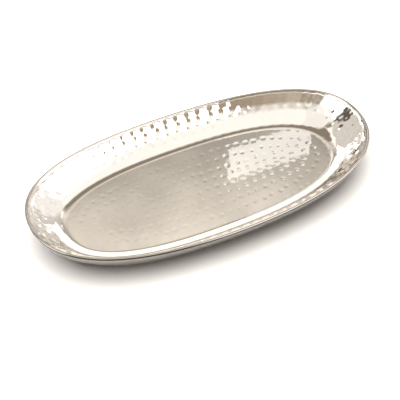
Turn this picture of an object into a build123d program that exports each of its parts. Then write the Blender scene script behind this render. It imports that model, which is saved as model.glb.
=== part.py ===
from build123d import *
import os
from math import cos, sin, pi, sqrt

# Oval serving tray of polished stainless steel, double walled: a hammered inner dish sits in a
# smooth outer shell and the two sheets are closed along the top by one rounded, polished rim.
# Millimetres. Origin: centre of the flat underside. +Z up, +X along the tray.

# ---- driving dimensions -------------------------------------------------------------------
LENGTH = 340.0            # over the rim, end to end
WIDTH = 165.0             # over the rim, side to side
SIDE_HEIGHT = 31.0        # table to top of rim at the middle of a long side
END_RISE = 5.0            # how much higher the rim stands at the two ends
RIM_THICKNESS = 2.5       # round closed edge
SHEET = 0.9               # wall sheet, measured horizontally
FLOOR_HEIGHT = 8.0        # table to the dish floor
FLOOR_SHEET = 0.9         # dish floor sheet
BASE_SHEET = 0.9          # underside sheet

BASE_INSET_END = 30.5     # rim edge to base edge, at the ends
BASE_INSET_SIDE = 18.5    # rim edge to base edge, at the sides
FLOOR_INSET_END = 30.0    # rim edge to edge of the dish floor, at the ends
FLOOR_INSET_SIDE = 24.0   # rim edge to edge of the dish floor, at the sides
SHELL_BOW = 1.45          # outer wall: 1 is a straight flare, more is rounder
DISH_BOW = 1.5            # inner wall: 1 is a straight flare, more is rounder
RIM_SQUARE = 0.027        # fullness of the oval at the rim
BASE_SQUARE = 0.036       # fullness of the oval at the base
POINTS = 24               # through-points of one oval

END_HEIGHT = SIDE_HEIGHT + END_RISE
RIM_R = RIM_THICKNESS / 2
BOW_RADIUS = ((LENGTH / 2) ** 2 + END_RISE ** 2) / (2 * END_RISE)   # arc the rim follows


def rim_top(x):
    """Height of the top of the rim at distance x from the middle."""
    return SIDE_HEIGHT + BOW_RADIUS - sqrt(BOW_RADIUS ** 2 - x * x)


def oval_point(half_x, half_y, square, t):
    r = 1 + square * (1 - cos(4 * t))
    return half_x * r * cos(t), half_y * r * sin(t)


def oval(half_x, half_y, square, z):
    """Closed squared oval at height z."""
    pts = [oval_point(half_x, half_y, square, 2 * pi * i / POINTS) for i in range(POINTS)]
    return Wire([Edge.make_spline([Vector(x, y, z) for x, y in pts], periodic=True)])


def left(z, low, high, bow):
    """Share of the inset still to go at height z, 1 at the bottom and 0 at the rim."""
    return max(0.0, 1 - (z - low) / (high - low)) ** bow


def square_at(z):
    return BASE_SQUARE + (RIM_SQUARE - BASE_SQUARE) * min(1.0, z / SIDE_HEIGHT)


def shell_oval(z, extra):
    """Section of the outer wall at height z; extra moves it inwards."""
    inset_x = 0.25 + BASE_INSET_END * left(z, 0, END_HEIGHT, SHELL_BOW) + extra
    inset_y = 0.25 + BASE_INSET_SIDE * left(z, 0, SIDE_HEIGHT, SHELL_BOW) + extra
    return oval(LENGTH / 2 - inset_x, WIDTH / 2 - inset_y, square_at(z), z)


def dish_oval(z, extra):
    """Section of the inner wall face at height z; extra moves it outwards."""
    end = 0.25 + 2 * SHEET
    inset_x = end + (FLOOR_INSET_END - end) * left(z, FLOOR_HEIGHT, END_HEIGHT, DISH_BOW) - extra
    inset_y = end + (FLOOR_INSET_SIDE - end) * left(z, FLOOR_HEIGHT, SIDE_HEIGHT, DISH_BOW) - extra
    return oval(LENGTH / 2 - inset_x, WIDTH / 2 - inset_y, square_at(z), z)


def stack(section, levels, extra):
    return Solid.make_loft([section(z, extra) for z in levels])


# ---- everything above the seam line, to trim both sheets to the curved rim ------------------
seam = RIM_R                                  # the sheets stop at the middle of the round edge
half = LENGTH / 2 + 10
low_mid, low_end = rim_top(0) - seam, rim_top(LENGTH / 2) - seam
end_z = SIDE_HEIGHT + BOW_RADIUS - sqrt(BOW_RADIUS ** 2 - half * half) - seam
arc = Edge.make_three_point_arc((-half, -WIDTH, end_z), (0, -WIDTH, low_mid), (half, -WIDTH, end_z))
frame_line = Wire.make_polygon([(half, -WIDTH, end_z), (half, -WIDTH, 90), (-half, -WIDTH, 90),
                                (-half, -WIDTH, end_z)], close=False)
above_rim = Solid.extrude(Face(Wire([arc] + list(frame_line.edges()))), Vector(0, 2 * WIDTH, 0))

# ---- rim: round edge that closes the two sheets, bowed up to the ends -----------------------
path_pts = []
for i in range(POINTS + 1):
    x, y = oval_point(LENGTH / 2 - RIM_R, WIDTH / 2 - RIM_R, RIM_SQUARE, pi * (i / POINTS - 0.5))
    path_pts.append(Vector(x, y, rim_top(x) - RIM_R))
half_path = Edge.make_spline(path_pts, tangents=[Vector(1, 0, 0), Vector(-1, 0, 0)])
rim_section = Plane(origin=half_path @ 0, z_dir=half_path % 0) * Circle(RIM_R)
half_rim = Solid.sweep(rim_section.face(), Wire([half_path]))
rim = (half_rim + half_rim.mirror(Plane.YZ)) & above_rim

# ---- outer shell: smooth pressed pan, flat underside ---------------------------------------
shell_levels = [0.0, 4, 9, 15, 21, 27, 32, 36]
outer_shell = stack(shell_oval, shell_levels, 0.0) - above_rim
outer_shell -= stack(shell_oval, [BASE_SHEET] + shell_levels[1:] + [39], SHEET)

# ---- hammered dish: inner pan with a flat floor and a concave wall -------------------------
dish_levels = [FLOOR_HEIGHT, 11, 15, 20, 25, 30, 36]
hammered_dish = stack(dish_oval, [FLOOR_HEIGHT - FLOOR_SHEET] + dish_levels[1:], SHEET) - above_rim
hammered_dish -= stack(dish_oval, dish_levels + [39], 0.0)

os.makedirs("parts", exist_ok=True)
for name, shape in (("hammered_dish", hammered_dish), ("outer_shell", outer_shell), ("rim_edge", rim)):
    solids = shape.solids()
    biggest = max(solids, key=lambda s: s.volume)
    print(name, "solids", len(solids), [round(s.volume, 3) for s in solids], biggest.is_valid,
          shape.bounding_box())
    export_step(biggest, "parts/" + name + ".step")
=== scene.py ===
import math
import random

import bmesh
import bpy
import numpy as np
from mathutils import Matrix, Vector
from mathutils.kdtree import KDTree


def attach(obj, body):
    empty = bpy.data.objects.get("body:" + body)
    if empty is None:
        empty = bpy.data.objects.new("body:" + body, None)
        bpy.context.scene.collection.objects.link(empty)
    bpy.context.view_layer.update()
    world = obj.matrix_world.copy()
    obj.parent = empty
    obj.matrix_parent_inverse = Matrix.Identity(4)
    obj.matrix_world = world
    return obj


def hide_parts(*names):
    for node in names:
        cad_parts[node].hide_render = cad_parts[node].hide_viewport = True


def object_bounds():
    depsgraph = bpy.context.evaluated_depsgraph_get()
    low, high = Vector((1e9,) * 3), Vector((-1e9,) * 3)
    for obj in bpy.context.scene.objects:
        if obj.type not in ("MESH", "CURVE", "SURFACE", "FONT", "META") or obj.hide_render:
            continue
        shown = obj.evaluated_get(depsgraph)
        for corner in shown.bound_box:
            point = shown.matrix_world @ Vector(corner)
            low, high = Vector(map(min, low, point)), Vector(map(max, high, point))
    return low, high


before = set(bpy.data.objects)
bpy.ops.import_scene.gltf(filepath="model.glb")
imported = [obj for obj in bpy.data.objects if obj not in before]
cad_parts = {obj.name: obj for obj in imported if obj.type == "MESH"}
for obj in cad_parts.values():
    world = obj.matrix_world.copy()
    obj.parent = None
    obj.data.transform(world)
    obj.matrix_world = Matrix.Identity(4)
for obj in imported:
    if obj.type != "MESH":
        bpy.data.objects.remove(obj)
cad_low, cad_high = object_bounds()


# ---- Camera -----------------------------------------------------------------------------------
# A long portrait lens on a tripod, to the left of the tray and well above it, so the dish is
# looked into and the rim draws one clean oval.
camera = bpy.data.objects.new("camera", bpy.data.cameras.new("camera"))
bpy.context.collection.objects.link(camera)
camera.data.lens = 100
camera.data.sensor_width = 36
turn, tilt, reach = math.radians(-25.98), math.radians(47.04), 1.0476
aim = Vector((-0.00635, -0.00773, 0.0))
away = Vector((math.sin(turn) * math.cos(tilt), -math.cos(turn) * math.cos(tilt), math.sin(tilt)))
camera.location = aim + away * reach
camera.rotation_mode = "QUATERNION"
camera.rotation_quaternion = (-away).to_track_quat("-Z", "Y")
bpy.context.scene.camera = camera


# ---- Studio -----------------------------------------------------------------------------------
# White background paper under a wide soft light. Frames of white cloth stand round the table for
# the mirror-bright metal to reflect, with a small window at the back and a brown room behind.
def colour(hex_code):
    """An sRGB hex colour as linear RGBA."""
    parts = [int(hex_code[i:i + 2], 16) / 255 for i in (1, 3, 5)]
    return [c / 12.92 if c <= 0.04045 else ((c + 0.055) / 1.055) ** 2.4 for c in parts] + [1.0]


def add_node(tree, kind, settings=None, links=None):
    """Adds a node, sets its properties or its sockets by name or number, and links what is given."""
    node = tree.nodes.new(kind)
    for key, value in (settings or {}).items():
        if isinstance(key, int) or key in node.inputs:
            node.inputs[key].default_value = value
        else:
            setattr(node, key, value)
    for key, source in (links or {}).items():
        tree.links.new(source, node.inputs[key])
    return node


def new_material(name):
    """An empty material, ready for its nodes."""
    made = bpy.data.materials.new(name)
    made.use_nodes = True
    made.node_tree.nodes.clear()
    return made


PAPER_HALF = 6.0                      # the paper reaches this far each way
floor_mesh = bpy.data.meshes.new("studio_floor")
bm = bmesh.new()
bmesh.ops.create_grid(bm, x_segments=1, y_segments=1, size=PAPER_HALF)
bm.to_mesh(floor_mesh)
bm.free()
studio_floor = bpy.data.objects.new("studio_floor", floor_mesh)
bpy.context.collection.objects.link(studio_floor)

# Matt white background paper: plain, without any shine
paper = new_material("matt_white_background_paper")
sheet = add_node(paper.node_tree, "ShaderNodeBsdfDiffuse", {"Color": colour("#F7F6F4"), "Roughness": 0.3})
add_node(paper.node_tree, "ShaderNodeOutputMaterial", links={"Surface": sheet.outputs[0]})
floor_mesh.materials.append(paper)


def soft_panel(name, place, look_at, width, height, radiance, tint="#FFFFFF"):
    """An even rectangle of light that faces look_at. The lens never sees it directly."""
    light = bpy.data.lights.new(name, "AREA")
    light.shape = "RECTANGLE"
    light.size, light.size_y = width, height
    light.energy = radiance * math.pi * width * height
    light.color = colour(tint)[:3]
    panel = bpy.data.objects.new(name, light)
    bpy.context.collection.objects.link(panel)
    panel.location = place
    panel.rotation_mode = "QUATERNION"
    panel.rotation_quaternion = (Vector(look_at) - Vector(place)).to_track_quat("-Z", "Y")
    panel.visible_camera = False
    return panel


# The cloth frames and the window that the metal reflects, and that leave the paper alone
TABLE = (0, 0, 0)
for panel in (soft_panel("cloth_overhead", (0.27, -0.27, 1.45), TABLE, 1.90, 1.03, 0.14, "#FFFBF8"),
              soft_panel("window", (0.60, 0.88, 0.998), (0.60, 0, 0.998), 0.21, 0.105, 0.62),
              soft_panel("cloth_behind", (0.60, 0.90, 0.45), (0.60, 0, 0.45), 1.60, 0.90, 1.20, "#FFF8F2"),
              soft_panel("cloth_right", (0.63, -0.63, 0.60), (0, 0, 0.60), 1.12, 1.20, 1.60),
              soft_panel("cloth_left", (-1.0, -0.03, 0.57), (0, -0.03, 0.57), 0.80, 1.14, 1.60)):
    panel.visible_diffuse = False

# The two lamps that light the paper and stay out of the metal: one over the table, one very high
for panel in (soft_panel("lamp_over_table", (-0.05, 0.22, 1.20), TABLE, 2.4, 1.8, 2.8),
              soft_panel("lamp_ceiling", (0, 0, 6.0), TABLE, 16.0, 16.0, 1.1, "#FFF4EA")):
    panel.visible_glossy = False

# The room, seen only in the metal. Tones by compass bearing in degrees, from the back wall
# towards the right; cloth hangs between the brown stretches
room_tones = [(-180, "#A0917F"), (-150, "#BBB0A1"), (-133, "#988B7D"), (-122, "#B5ADA2"),
              (-114, "#FFFFFF"), (-70, "#FFFFFF"), (-67, "#6E645B"), (-59, "#766C63"),
              (-55, "#F4EDE6"), (-25, "#F4EDE6"), (12, "#B8B1A8"), (18, "#B8B1A8"),
              (26.5, "#C1BAB0"), (32, "#CCC5BC"), (36, "#BEB6AC"), (44, "#E0DAD2"),
              (58, "#E4DED7"), (62, "#F0ECE8"), (98, "#F2EEEA"), (103, "#FFFFFF"),
              (163, "#FFFFFF"), (168, "#A0917F")]
FOLDS = 26.0                          # folds and stains of the cloth over the whole room
BACK_STARTS, BACK_FULL = 0.24, 0.36   # how far a direction points to the back, 0 to 1
WALL_LOW, WALL_HIGH = 0.695, 0.755    # how far it points up, where the back wall lightens
CEILING_IN_FRONT, CEILING_AT_BACK, CEILING_FULL = 0.62, 0.765, 0.815
ROOM_GLOW = 1.5
world = bpy.data.worlds.new("studio_room")
bpy.context.scene.world = world
world.use_nodes = True
world.cycles_visibility.diffuse = False
tree = world.node_tree
tree.nodes.clear()
where = add_node(tree, "ShaderNodeTexCoord")
side = add_node(tree, "ShaderNodeSeparateXYZ", links={0: where.outputs["Generated"]})
bearing = add_node(tree, "ShaderNodeMath", {"operation": "ARCTAN2"},
                   {0: side.outputs["X"], 1: side.outputs["Y"]})
around = add_node(tree, "ShaderNodeMapRange", {"From Min": -math.pi, "From Max": math.pi},
                  {"Value": bearing.outputs[0]})
walls = add_node(tree, "ShaderNodeValToRGB", links={0: around.outputs[0]})
ends = walls.color_ramp.elements
for element, (degrees, tone) in zip(list(ends), (room_tones[0], room_tones[-1])):
    element.position = (degrees + 180) / 360
    element.color = colour(tone)
for degrees, tone in room_tones[1:-1]:
    ends.new((degrees + 180) / 360).color = colour(tone)
folds = add_node(tree, "ShaderNodeTexNoise", {"Scale": FOLDS, "Detail": 3.0},
                 {"Vector": where.outputs["Generated"]})
fold_shade = add_node(tree, "ShaderNodeMapRange",
                      {"From Min": 0.35, "From Max": 0.65, "To Min": 0.86, "To Max": 1.08},
                      {"Value": folds.outputs[0]})
to_back = add_node(tree, "ShaderNodeMapRange", {"From Min": BACK_STARTS, "From Max": BACK_FULL},
                   {"Value": side.outputs["Y"]})
height_shade = add_node(tree, "ShaderNodeMapRange",
                        {"From Min": WALL_LOW, "From Max": WALL_HIGH, "To Min": 0.70, "To Max": 1.38},
                        {"Value": side.outputs["Z"]})
back_shade = add_node(tree, "ShaderNodeMix", {"data_type": "FLOAT", 2: 1.0},
                      {0: to_back.outputs[0], 3: height_shade.outputs[0]})
wall_shade = add_node(tree, "ShaderNodeMath", {"operation": "MULTIPLY"},
                      {0: fold_shade.outputs[0], 1: back_shade.outputs[0]})
shaded_walls = add_node(tree, "ShaderNodeVectorMath", {"operation": "SCALE"},
                        {0: walls.outputs[0], "Scale": wall_shade.outputs[0]})
ceiling = add_node(tree, "ShaderNodeMix", {"data_type": "RGBA", 6: colour("#EFEBE6"), 7: colour("#857A6E")},
                   {0: to_back.outputs[0]})
ceiling_start = add_node(tree, "ShaderNodeMix",
                         {"data_type": "FLOAT", 2: CEILING_IN_FRONT, 3: CEILING_AT_BACK},
                         {0: to_back.outputs[0]})
ceiling_share = add_node(tree, "ShaderNodeMapRange", {"From Max": CEILING_FULL},
                         {"Value": side.outputs["Z"], "From Min": ceiling_start.outputs[0]})
room = add_node(tree, "ShaderNodeMix", {"data_type": "RGBA"},
                {0: ceiling_share.outputs[0], 6: shaded_walls.outputs[0], 7: ceiling.outputs[2]})
seen = add_node(tree, "ShaderNodeLightPath")
shown = add_node(tree, "ShaderNodeMix", {"data_type": "RGBA", 7: colour("#FFFFFF")},
                 {0: seen.outputs["Is Camera Ray"], 6: room.outputs[2]})
glow = add_node(tree, "ShaderNodeBackground", {"Strength": ROOM_GLOW}, {"Color": shown.outputs[2]})
add_node(tree, "ShaderNodeOutputWorld", links={"Surface": glow.outputs[0]})
bpy.context.scene.view_settings.view_transform = "Standard"
bpy.context.scene.cycles.caustics_reflective = False


# ---- Hammered dish ----------------------------------------------------------------------------
# The inner pan: one sheet of stainless steel pressed to a long squared oval with a flat floor and
# a hollow wall, then struck all over from above in rows that follow the oval, and mirror buffed.
HALF_LENGTH, HALF_WIDTH = cad_high.x, cad_high.y
RIM_R = 0.00125                       # radius of the closed round edge
SIDE_TOP, END_TOP = 0.031, 0.036      # top of the rim halfway along a side and at an end
SHEET = 0.0009
SEAM_STEP = 0.00025                   # the sheets stand in from the rim's widest line by this much
RIM_SQUARE, BASE_SQUARE = 0.027, 0.036   # how squared the oval is at the rim and at the base
DISH_FLOOR = 0.008                    # height of the floor over the table
FLOOR_INSET_END, FLOOR_INSET_SIDE = 0.030, 0.024
DISH_BOW = 1.5                        # 1 is a straight flare, more is rounder
WALL_SLOPE = 0.55                     # steepness of the wall where it meets the floor
SOFT_CORNER = 0.004                   # depth of the rounding where wall runs into floor


def oval_radius(fullness, t):
    """How far a squared oval stands out from a plain one, round its angle t."""
    return 1 + fullness * (1 - np.cos(4 * t))


def seam_height(t):
    """Height of the seam between sheets and rim, which rises on one large arc to the ends."""
    rise = END_TOP - SIDE_TOP
    arc = (HALF_LENGTH ** 2 + rise ** 2) / (2 * rise)
    x = (HALF_LENGTH - RIM_R) * oval_radius(RIM_SQUARE, t) * np.cos(t)
    return SIDE_TOP + arc - np.sqrt(arc * arc - x * x) - RIM_R


def dish_point(t, s, under=False):
    """Point of the dish sheet. s runs 0 at the seam, 1 at the floor's edge, 2 at the middle line."""
    down, inward = np.minimum(s, 1), np.maximum(s - 1, 0)
    edge = SEAM_STEP + 2 * SHEET
    inset_x = edge + (FLOOR_INSET_END - edge) * down ** DISH_BOW
    inset_y = edge + (FLOOR_INSET_SIDE - edge) * down ** DISH_BOW
    top = seam_height(t)
    wall_z = top - (top - DISH_FLOOR) * down
    # the wall is carried on past the floor's edge, and the two are blended in the soft corner
    carried_on = DISH_FLOOR - WALL_SLOPE * inward * (HALF_WIDTH - FLOOR_INSET_SIDE)
    line = np.where(s > 1, carried_on, wall_z)
    share = np.clip(0.5 + 0.5 * (line - DISH_FLOOR) / SOFT_CORNER, 0, 1)
    z = DISH_FLOOR * (1 - share) + line * share + SOFT_CORNER * share * (1 - share)
    if under:
        inset_x, inset_y, z = inset_x - SHEET, inset_y - SHEET, z - SHEET * down
    half_y = (HALF_WIDTH - inset_y) * (1 - inward)
    half_x = (HALF_LENGTH - inset_x) - (HALF_WIDTH - inset_y) * inward
    r = oval_radius(RIM_SQUARE + (BASE_SQUARE - RIM_SQUARE) * down, t)
    return np.stack([half_x * r * np.cos(t), half_y * r * np.sin(t), z], -1)


PACE_WANDER, ROW_WANDER = 0.12, 0.018    # in paces along the row, and across it on the profile


def row_of_marks(s, pitch, rng):
    """Centres of one row of hammer marks, evenly paced round the oval with a hand's wander."""
    t = np.linspace(0, 2 * math.pi, 2001)
    path = dish_point(t, np.full_like(t, s))
    run = np.concatenate([[0], np.cumsum(np.linalg.norm(np.diff(path, axis=0), axis=1))])
    count = max(2, round(run[-1] / pitch))
    start = rng.random()
    centres = []
    for i in range(count):
        along = (i + start + rng.uniform(-PACE_WANDER, PACE_WANDER)) / count % 1.0 * run[-1]
        centres.append((float(np.interp(along, run, t)), min(s + rng.uniform(-ROW_WANDER, ROW_WANDER), 2.0)))
    return centres


def ramp(value, start, stop):
    """0 up to start, 1 from stop on, straight between."""
    return min(1, max(0, (value - start) / (stop - start)))


def blow(s, t, x):
    """How hard the hammer falls at x metres along the tray, 0 to 1. The wall is struck hardest
    along the far side's left and middle, less at the ends and near right, and the floor mostly
    towards the right-hand end."""
    if s >= 1:
        return 0.3 + 0.7 * ramp(x, -0.02, 0.04)
    wall = (0.30 + 0.70 * ramp(math.sin(t), 0.45, 0.80)) * (1 - 0.8 * ramp(x, 0.045, 0.075))
    near_right = 0.75 * ramp(x, 0.02, 0.05) * ramp(-math.sin(t), 0.0, 0.2)
    return max(wall, near_right, 0.55 * ramp(abs(x), 0.11, 0.14))


WELD = 2e-6                           # points this close are made one


def pressed_grid(name, around, row_count, place):
    """A grid rolled into closed rings: one column of faces per step round, one row per profile step."""
    bm = bmesh.new()
    bmesh.ops.create_grid(bm, x_segments=around, y_segments=row_count - 1, size=0.5)
    flat = np.array([v.co for v in bm.verts])
    t = (flat[:, 0] + 0.5) * 2 * math.pi
    row = np.rint((flat[:, 1] + 0.5) * (row_count - 1)).astype(int)
    for v, point in zip(bm.verts, place(t, row)):
        v.co = point
    bmesh.ops.remove_doubles(bm, verts=bm.verts, dist=WELD)
    bmesh.ops.recalc_face_normals(bm, faces=bm.faces)
    for face in bm.faces:
        face.smooth = True
    mesh = bpy.data.meshes.new(name)
    bm.to_mesh(mesh)
    bm.free()
    piece = bpy.data.objects.new(name, mesh)
    bpy.context.collection.objects.link(piece)
    return piece


# Rows of marks from the rim inwards: place on the profile, pace along the row, depth and radius
mark_rows = [(0.17, 0.0119, 0.00052, 0.0043), (0.41, 0.0116, 0.00060, 0.0042),
             (0.64, 0.0112, 0.00050, 0.0041), (0.84, 0.0104, 0.00012, 0.0038),
             (1.00, 0.0098, 0.00005, 0.0034), (1.13, 0.0096, 0.00002, 0.0028)]
mark_rows += [(s, 0.0092, 0.00004, 0.0028) for s in (1.33, 1.53, 1.73, 1.91)]
rng = random.Random(11)
marks = []
for s, pitch, depth, radius in mark_rows:
    for t_mark, s_mark in row_of_marks(s, pitch, rng):
        centre = dish_point(np.array([t_mark]), np.array([s_mark]))[0]
        marks.append((centre, depth * blow(s, t_mark, centre[0]) * rng.uniform(0.75, 1.25),
                      radius * rng.uniform(0.9, 1.1)))
mark_finder = KDTree(len(marks))
for i, (centre, depth, radius) in enumerate(marks):
    mark_finder.insert(centre, i)
mark_finder.balance()

# Profile steps: across the underside from the middle to the seam, then down the wall and inwards
under_steps = [2.0, 1.6, 1.2, 1.0, 0.8, 0.55, 0.3, 0.1, 0.0]
face_steps = list(np.linspace(0, 1, 38)) + list(np.linspace(1, 2, 63))[1:]
dish_s = np.array(under_steps + face_steps)
dish_under = np.arange(len(dish_s)) < len(under_steps)
SLOPE_STEP = 1e-3                     # step either side for reading the sheet's slope
WIDEST_MARK = 0.0052
MARK_ROUNDNESS = 1.4                  # 1 is a plain bowl, more has a softer lip
SEAM_CLEAR = 0.06                     # marks fade in over this share of the wall below the seam
NEAR_MIDDLE = 1.9                     # from here in, the floor is taken as level


def place_dish(t, row):
    """The sheet with every hammer mark pressed into its upper face."""
    s, under = dish_s[row], dish_under[row]
    point = np.where(under[:, None], dish_point(t, s, under=True), dish_point(t, s))
    along = dish_point(t + SLOPE_STEP, s) - dish_point(t - SLOPE_STEP, s)
    inwards = (dish_point(t, np.clip(s - SLOPE_STEP, 0, 2))
               - dish_point(t, np.clip(s + SLOPE_STEP, 0, 2)))
    normal = np.cross(along, inwards)
    normal /= np.linalg.norm(normal, axis=1, keepdims=True) + 1e-20
    normal[normal[:, 2] < 0] *= -1
    normal[s >= NEAR_MIDDLE] = (0, 0, 1)
    clear_of_seam = np.clip(s / SEAM_CLEAR, 0, 1)
    for i in np.nonzero(~under)[0]:
        low = 0.0
        for _, k, far in mark_finder.find_range(point[i], WIDEST_MARK):
            _, depth, radius = marks[k]
            if far < radius:
                low = max(low, depth * (1 - (far / radius) ** 2) ** MARK_ROUNDNESS)
        point[i] -= normal[i] * low * clear_of_seam[i]
    return point


dish = pressed_grid("hammered_dish_sheet", 800, len(dish_s), place_dish)


def polished_steel(name, clean, filmed, smoothest, haziest, haze_size):
    """Polished stainless steel with patches of wheel haze, where the tone warms a little and the
    mirror veils. Returns the material with its shader and its tone, to build on."""
    steel = new_material(name)
    tree = steel.node_tree
    spot = add_node(tree, "ShaderNodeTexCoord")
    haze = add_node(tree, "ShaderNodeTexNoise", {"Scale": 1 / haze_size, "Detail": 4.0, "Roughness": 0.6},
                    {"Vector": spot.outputs["Object"]})
    gloss = add_node(tree, "ShaderNodeMapRange",
                     {"From Min": 0.3, "From Max": 0.7, "To Min": smoothest, "To Max": haziest},
                     {"Value": haze.outputs[0]})
    film = add_node(tree, "ShaderNodeMix", {"data_type": "RGBA", 6: colour(clean), 7: colour(filmed)},
                    {0: haze.outputs[0]})
    metal = add_node(tree, "ShaderNodeBsdfPrincipled", {"Metallic": 1.0},
                     {"Base Color": film.outputs[2], "Roughness": gloss.outputs[0]})
    add_node(tree, "ShaderNodeOutputMaterial", links={"Surface": metal.outputs[0]})
    return steel, metal, film


# Stainless steel, hammered and then mirror buffed on a soft wheel: a clear, faintly warm mirror
# that still ripples a little between the marks
FINE_HAZE, RIPPLE = 0.016, 0.0045     # breadth of a patch of haze, and of one ripple
hammered, metal, film = polished_steel("stainless_steel_hammered_mirror_buffed", "#E2DFDA", "#DAD6D0",
                                       0.015, 0.035, FINE_HAZE)
tree = hammered.node_tree
spot = add_node(tree, "ShaderNodeTexCoord")
ripple = add_node(tree, "ShaderNodeTexNoise", {"Scale": 1 / RIPPLE, "Detail": 2.0},
                  {"Vector": spot.outputs["Object"]})
skin = add_node(tree, "ShaderNodeBump", {"Strength": 0.06, "Distance": 0.0002},
                {"Height": ripple.outputs[0]})
tree.links.new(skin.outputs[0], metal.inputs["Normal"])
dish.data.materials.append(hammered)
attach(dish, "root")
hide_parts("hammered_dish")


# ---- Outer shell ------------------------------------------------------------------------------
# The outer pan: one smooth pressed sheet of the same steel that flares from a flat underside up to
# the rim. It has no hammer marks, and its buffing is coarser than the dish's.
BASE_INSET_END, BASE_INSET_SIDE = 0.0305, 0.0185
SHELL_BOW = 1.45
FOOT_START = 0.94                     # how far down the flare the rounded foot starts
FOOT_END = 0.02                       # and how far in under the tray it ends


def shell_point(t, down, thickness=0.0):
    """Point of the flared wall, down from 0 at the seam to 1 at the foot."""
    inset_x = SEAM_STEP + BASE_INSET_END * down ** SHELL_BOW + thickness
    inset_y = SEAM_STEP + BASE_INSET_SIDE * down ** SHELL_BOW + thickness
    r = oval_radius(RIM_SQUARE + (BASE_SQUARE - RIM_SQUARE) * down, t)
    return np.stack([(HALF_LENGTH - inset_x) * r * np.cos(t), (HALF_WIDTH - inset_y) * r * np.sin(t),
                     seam_height(t) * (1 - down)], -1)


def base_point(t, share, thickness, z):
    """Point of the flat underside, share from 0 at its edge to 1 at the middle line."""
    edge_y = HALF_WIDTH - SEAM_STEP - BASE_INSET_SIDE - thickness
    edge_x = HALF_LENGTH - SEAM_STEP - BASE_INSET_END - thickness
    r = oval_radius(BASE_SQUARE, t)
    return np.stack([(edge_x - edge_y * share) * r * np.cos(t), edge_y * (1 - share) * r * np.sin(t),
                     np.full_like(t, z)], -1)


def shell_floor(t, share):
    """Inner face of the flat bottom."""
    return base_point(t, share, SHEET, SHEET)


def shell_inside(t, down):
    """Inner face of the flare, which stops on the bottom."""
    point = shell_point(t, np.full_like(t, down), SHEET)
    point[:, 2] = np.maximum(point[:, 2], SHEET)
    return point


def shell_outside(t, down):
    """Outer face of the flare."""
    return shell_point(t, np.full_like(t, down))


def shell_foot(t, share):
    """The rounded foot: one bend from the flare into the underside."""
    start, end = shell_outside(t, FOOT_START), base_point(t, FOOT_END, 0, 0.0)
    corner = shell_outside(t, 1.0)
    corner[:, 2] = 0
    return start * (1 - share) ** 2 + corner * 2 * share * (1 - share) + end * share ** 2


def shell_underside(t, share):
    """The face that stands on the table."""
    return base_point(t, share, 0, 0.0)


shell_rows = ([(shell_floor, share) for share in (1.0, 0.5, FOOT_END)]
              + [(shell_inside, down) for down in (0.97, 0.8, 0.6, 0.4, 0.2, 0.0)]
              + [(shell_outside, down) for down in (0.0, 0.02, 0.035, 0.045, 0.07)]
              + [(shell_outside, down) for down in np.linspace(0.11, FOOT_START, 21)]
              + [(shell_foot, share) for share in np.linspace(0.1, 1.0, 8)]
              + [(shell_underside, share) for share in (0.03, 0.05, 0.2, 0.5, 0.8, 1.0)])


def place_shell(t, row):
    """Every row of the sheet, each from its own part."""
    point = np.zeros((len(t), 3))
    for k, (part, value) in enumerate(shell_rows):
        point[row == k] = part(t[row == k], value)
    return point


def keep_painted_seam_shade(piece, amount):
    """Stores how much painted shade each point of a piece takes along the seam, 0 to 1."""
    points = np.array([v.co for v in piece.data.vertices])
    t = np.arctan2(points[:, 1] / HALF_WIDTH, points[:, 0] / HALF_LENGTH)
    seam_shade = piece.data.attributes.new("seam_painted_shade", "FLOAT", "POINT")
    seam_shade.data.foreach_set("value", np.clip(amount(t, points), 0, 1).astype(np.float32))


def darken_seam(steel, metal, film):
    """Blackens the steel where its points take painted shade: a dark line painted in for the shade in the
    seam under the rim.
    """
    seam_shade = add_node(steel.node_tree, "ShaderNodeAttribute", {"attribute_name": "seam_painted_shade"})
    # painted shade: the near black that the seam line is painted
    shaded_steel = add_node(steel.node_tree, "ShaderNodeMix", {"data_type": "RGBA", 7: colour("#1E1B18")},
                       {0: seam_shade.outputs["Fac"], 6: film.outputs[2]})
    steel.node_tree.links.new(shaded_steel.outputs[2], metal.inputs["Base Color"])


# Painted shade: a black line painted along the seam under the rim, fading out below it
PAINTED_SHADE_LINE = 0.0008                   # height over which the black line under the rim fades out


# Painted shade on the outer shell, just below the seam
def shell_painted_shade(t, points):
    """Full down to one line's height below the seam, gone at two."""
    return 2 - (seam_height(t) - points[:, 2]) / PAINTED_SHADE_LINE


shell = pressed_grid("outer_shell_sheet", 360, len(shell_rows), place_shell)
keep_painted_seam_shade(shell, shell_painted_shade)
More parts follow.
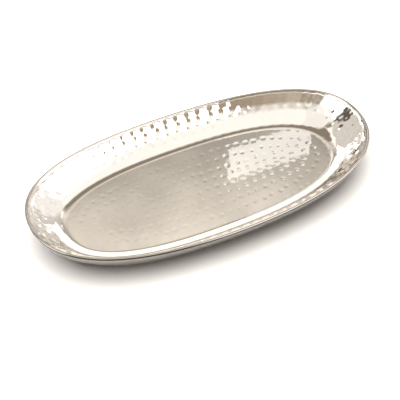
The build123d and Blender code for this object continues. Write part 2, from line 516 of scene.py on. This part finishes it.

# The same steel buffed on a coarser wheel: a slightly veiled mirror, with its tone painted darker than the
# dish's as painted shade for the shadowed paper the outer wall reflects
BROAD_HAZE = 0.022
buffed, metal, film = polished_steel("stainless_steel_buffed_painted_shade", "#ADA8A2", "#A5A09A",
                                     0.03, 0.06, BROAD_HAZE)
# paints the seam shade black on the outer shell
darken_seam(buffed, metal, film)
shell.data.materials.append(buffed)
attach(shell, "root")
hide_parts("outer_shell")


# ---- Rim edge ---------------------------------------------------------------------------------
# The two sheets are closed together along the top, and the seam is ground and polished to one
# round edge of steel that runs all the way round.
RIM_STEPS = 18
SUNK = 0.12                           # share of the radius that the edge sits down into the seam


def rim_line(t):
    """The middle line of the edge, seen from above."""
    r = oval_radius(RIM_SQUARE, t)
    return np.stack([(HALF_LENGTH - RIM_R) * r * np.cos(t), (HALF_WIDTH - RIM_R) * r * np.sin(t)], -1)


def place_rim(t, row):
    """The round of the edge about its middle line, cut off flat where it sits in the seam."""
    ahead = rim_line(t + SLOPE_STEP) - rim_line(t - SLOPE_STEP)
    ahead /= np.linalg.norm(ahead, axis=1, keepdims=True)
    outwards = np.stack([ahead[:, 1], -ahead[:, 0]], -1)
    a = row / RIM_STEPS * 2 * math.pi
    flat = rim_line(t) + outwards * (np.cos(a) * RIM_R)[:, None]
    return np.column_stack([flat, seam_height(t) + np.maximum(np.sin(a), -SUNK) * RIM_R])


OUTER_SIDE = 0.012                    # the outer side starts this far in, as a share of the oval
# Painted shade on the rim edge, low on its outer side
PAINTED_SHADE_TOP, PAINTED_SHADE_FADE = 0.55, 0.2     # in radii over the seam


def rim_painted_shade(t, points):
    """Shade is painted only low on the outer side of the edge."""
    out = np.hypot(points[:, 0] / HALF_LENGTH, points[:, 1] / HALF_WIDTH)
    rise = (points[:, 2] - seam_height(t)) / RIM_R
    return np.where(out > oval_radius(RIM_SQUARE, t) - OUTER_SIDE, (PAINTED_SHADE_TOP - rise) / PAINTED_SHADE_FADE, 0)


rim = pressed_grid("rim_edge_round", 480, RIM_STEPS + 1, place_rim)
keep_painted_seam_shade(rim, rim_painted_shade)

# The same steel, ground round and polished by hand: a thin line round the top, given the outer shell's
# darker tone as painted shade, and with shade painted black low on its outer side
edge_steel, metal, film = polished_steel("stainless_steel_ground_edge_painted_shade", "#ADA8A2", "#A5A09A",
                                         0.03, 0.06, BROAD_HAZE)
# paints the seam shade black on the rim edge
darken_seam(edge_steel, metal, film)
rim.data.materials.append(edge_steel)
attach(rim, "root")
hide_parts("rim_edge")
